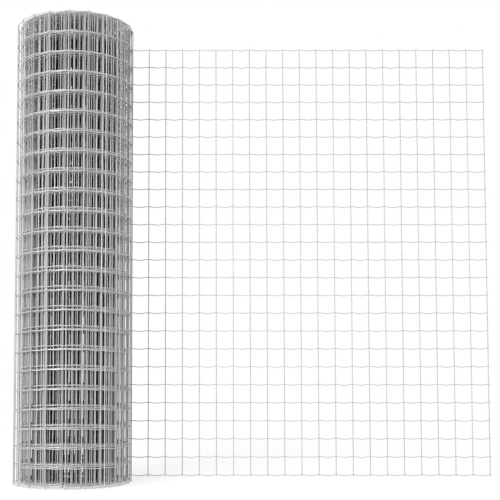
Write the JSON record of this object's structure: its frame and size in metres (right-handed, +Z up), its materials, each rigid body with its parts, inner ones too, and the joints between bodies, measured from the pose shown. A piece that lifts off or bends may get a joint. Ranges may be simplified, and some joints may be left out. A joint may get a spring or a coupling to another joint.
{
  "type": "roll of welded wire fencing",
  "caption": "Upright roll of galvanised welded wire mesh with an open bore, its free end unrolled into a flat length behind it.",
  "frame": {"origin": "on the axis of the roll's bore, at the level that the roll stands on", "axes": "+Z up along the bore, +X along the unrolled length towards the fence's free end, +Y from the axis to the back of the roll, where that length leaves it"},
  "size_m": [1.2977, 0.3092, 1.2063],
  "materials": {
    "galvanised_wire": "hot-dip galvanised steel wire, bright grey with a soft sheen"
  },
  "bodies": {
    "root": {"rolled_turns": "galvanised_wire", "unrolled_near_half": "galvanised_wire", "unrolled_far_half": "galvanised_wire"}
  },
  "joints": []
}
